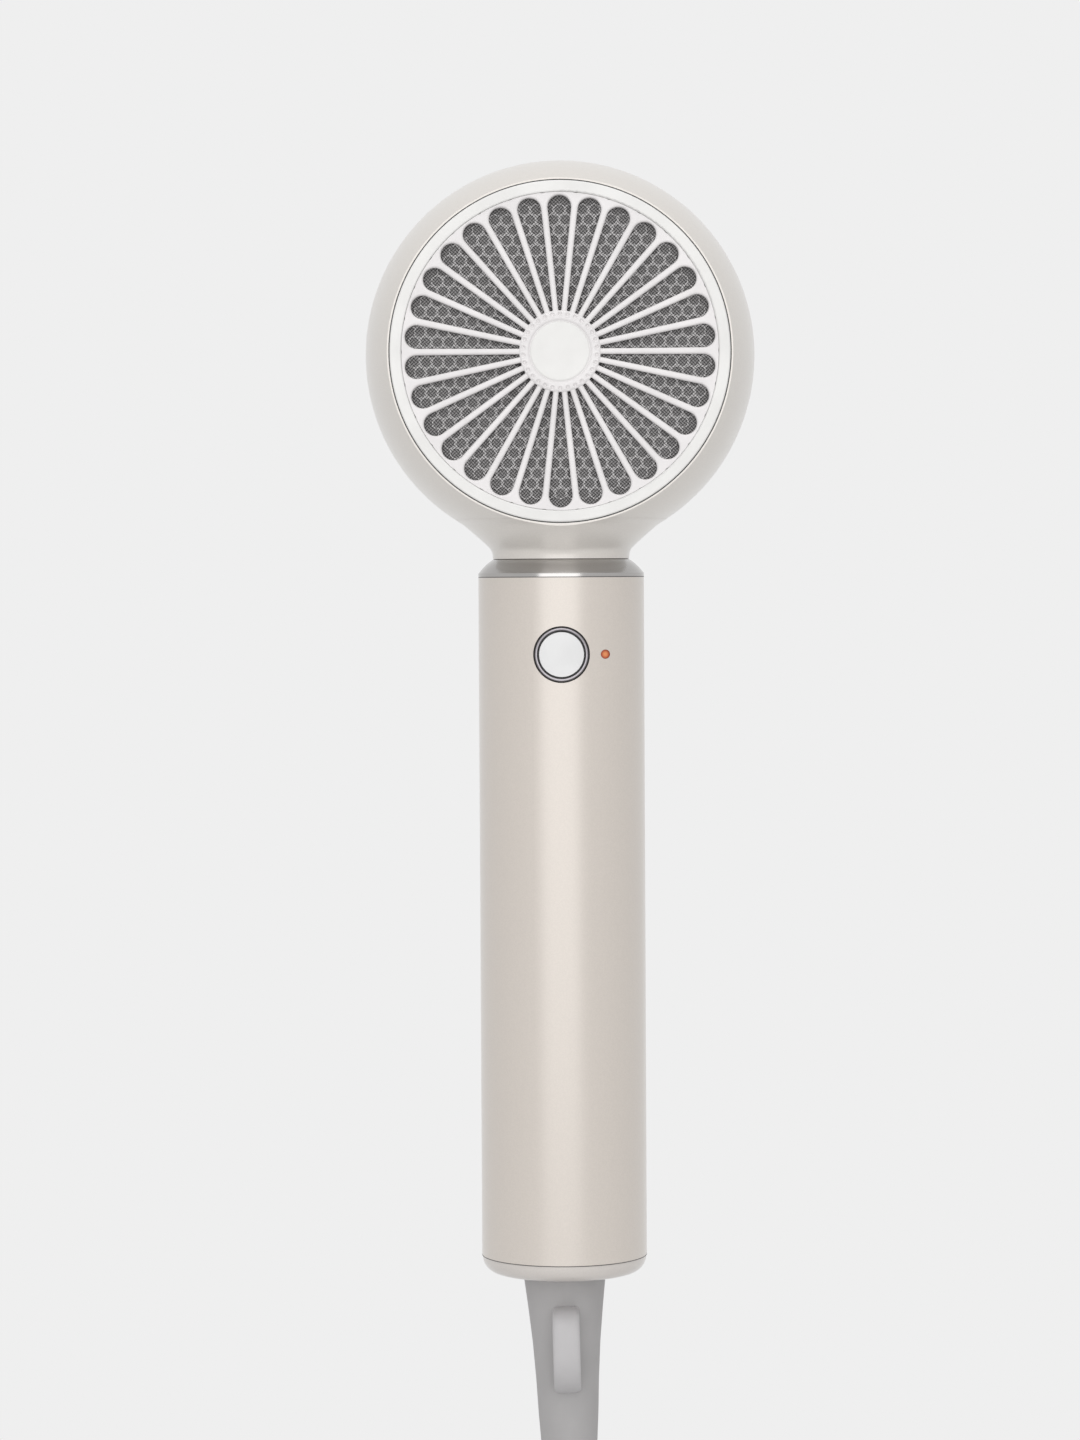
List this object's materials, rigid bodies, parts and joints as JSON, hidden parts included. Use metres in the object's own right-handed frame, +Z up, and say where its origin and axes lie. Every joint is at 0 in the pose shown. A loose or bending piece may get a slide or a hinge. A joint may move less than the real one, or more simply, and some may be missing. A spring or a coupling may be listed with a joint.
{
  "type": "hair dryer",
  "caption": "Straight-handled hair dryer with a ball-shaped head, a round slotted inlet cover, a push button and a corded strain relief with a hanging loop.",
  "frame": {"origin": "on the handle's axis, at the middle of its straight tube, where a ring holder or a hand grips it", "axes": "+Z up the handle to the head, +Y out of the air outlet, -Y out of the air inlet and the button side"},
  "size_m": [0.089, 0.0783, 0.4945],
  "materials": {
    "pearl_shell": "pearl champagne satin paint",
    "pearl_tube": "pearl champagne satin paint",
    "white_satin": "satin",
    "grille_satin": "satin",
    "white_button": "satin",
    "dark_heatproof": "matte",
    "blackened_steel": "satin",
    "filter_weave": "woven",
    "grey_plastic": "matte",
    "magnet": "nickel plated",
    "black_plastic": "matte",
    "fan_plastic": "matte",
    "zinc_screw": "zinc plated",
    "shaft_steel": "ground",
    "motor_can": "drawn",
    "core_steel": "laminated",
    "copper_wire": "enamelled",
    "black_rubber": "matte",
    "mica": "flaky sheet",
    "resistance_wire": "wound wire",
    "white_ceramic": "glazed",
    "polished_chrome": "polished",
    "circuit_board": "solder mask",
    "led": "clear",
    "orange_lens": "translucent",
    "capacitor": "sleeved",
    "plain_aluminium": "extruded",
    "yellow_case": "moulded",
    "grey_rubber": "soft matte",
    "cord_jacket": "soft matte",
    "tie_strap": "hook and loop strap",
    "plug_pin": "nickel plated"
  },
  "bodies": {
    "root": {"head_shell": "pearl_shell", "front_shell": "pearl_shell", "handle_tube": "pearl_tube", "end_cap": "pearl_shell", "outlet_ring": "dark_heatproof", "outlet_grille": "blackened_steel", "inner_guard": "blackened_steel", "fan_shroud": "black_plastic", "fan_screws": "zinc_screw", "motor_housing": "motor_can", "motor_end_cap": "motor_can", "motor_bearings": "shaft_steel", "motor_core": "core_steel", "motor_coils": "copper_wire", "motor_sleeve": "black_rubber", "mica_tube": "mica", "mica_boards": "mica", "heater_coils": "resistance_wire", "thermostat": "shaft_steel", "thermal_fuse": "white_ceramic", "handle_collar": "polished_chrome", "neck_nut": "black_plastic", "button_bezel": "polished_chrome", "tact_switch": "black_plastic", "switch_board": "circuit_board", "indicator_led": "led", "indicator_lens": "orange_lens", "handle_frame": "grey_plastic", "control_board": "circuit_board", "bulk_capacitor": "capacitor", "choke": "copper_wire", "heat_sink": "plain_aluminium", "filter_capacitor": "yellow_case", "cord_clamp": "black_plastic", "clamp_screws": "zinc_screw", "strain_relief": "grey_rubber", "cord_inside": "cord_jacket", "cord": "cord_jacket", "cord_tail": "cord_jacket", "cord_hank": "cord_jacket", "cord_tie": "tie_strap", "plug": "grey_rubber", "plug_pins": "plug_pin"},
    "inlet_cover": {"inlet_bezel": "white_satin", "inlet_grille": "grille_satin", "hub_cap": "white_satin", "filter_mesh": "filter_weave", "filter_frame": "grey_plastic", "cover_magnets": "magnet"},
    "rotor": {"impeller": "fan_plastic", "motor_shaft": "shaft_steel", "rotor_magnet": "magnet"},
    "button": {"power_button": "white_button", "switch_plunger": "black_plastic"}
  },
  "joints": [
    {"name": "fan_spin", "type": "hinge", "parent": "root", "child": "rotor", "pos_m": [0, 0, 0.1285], "axis": [0, 1, 0], "continuous": true},
    {"name": "power_button_press", "type": "slide", "parent": "root", "child": "button", "axis": [0, 1, 0], "range_m": [0, 0.0007], "stiffness_N_per_m": 1500, "springref_m": -0.0005},
    {"name": "inlet_cover_pull", "type": "slide", "parent": "root", "child": "inlet_cover", "axis": [0, -1, 0], "range_m": [0, 0.012]}
  ]
}
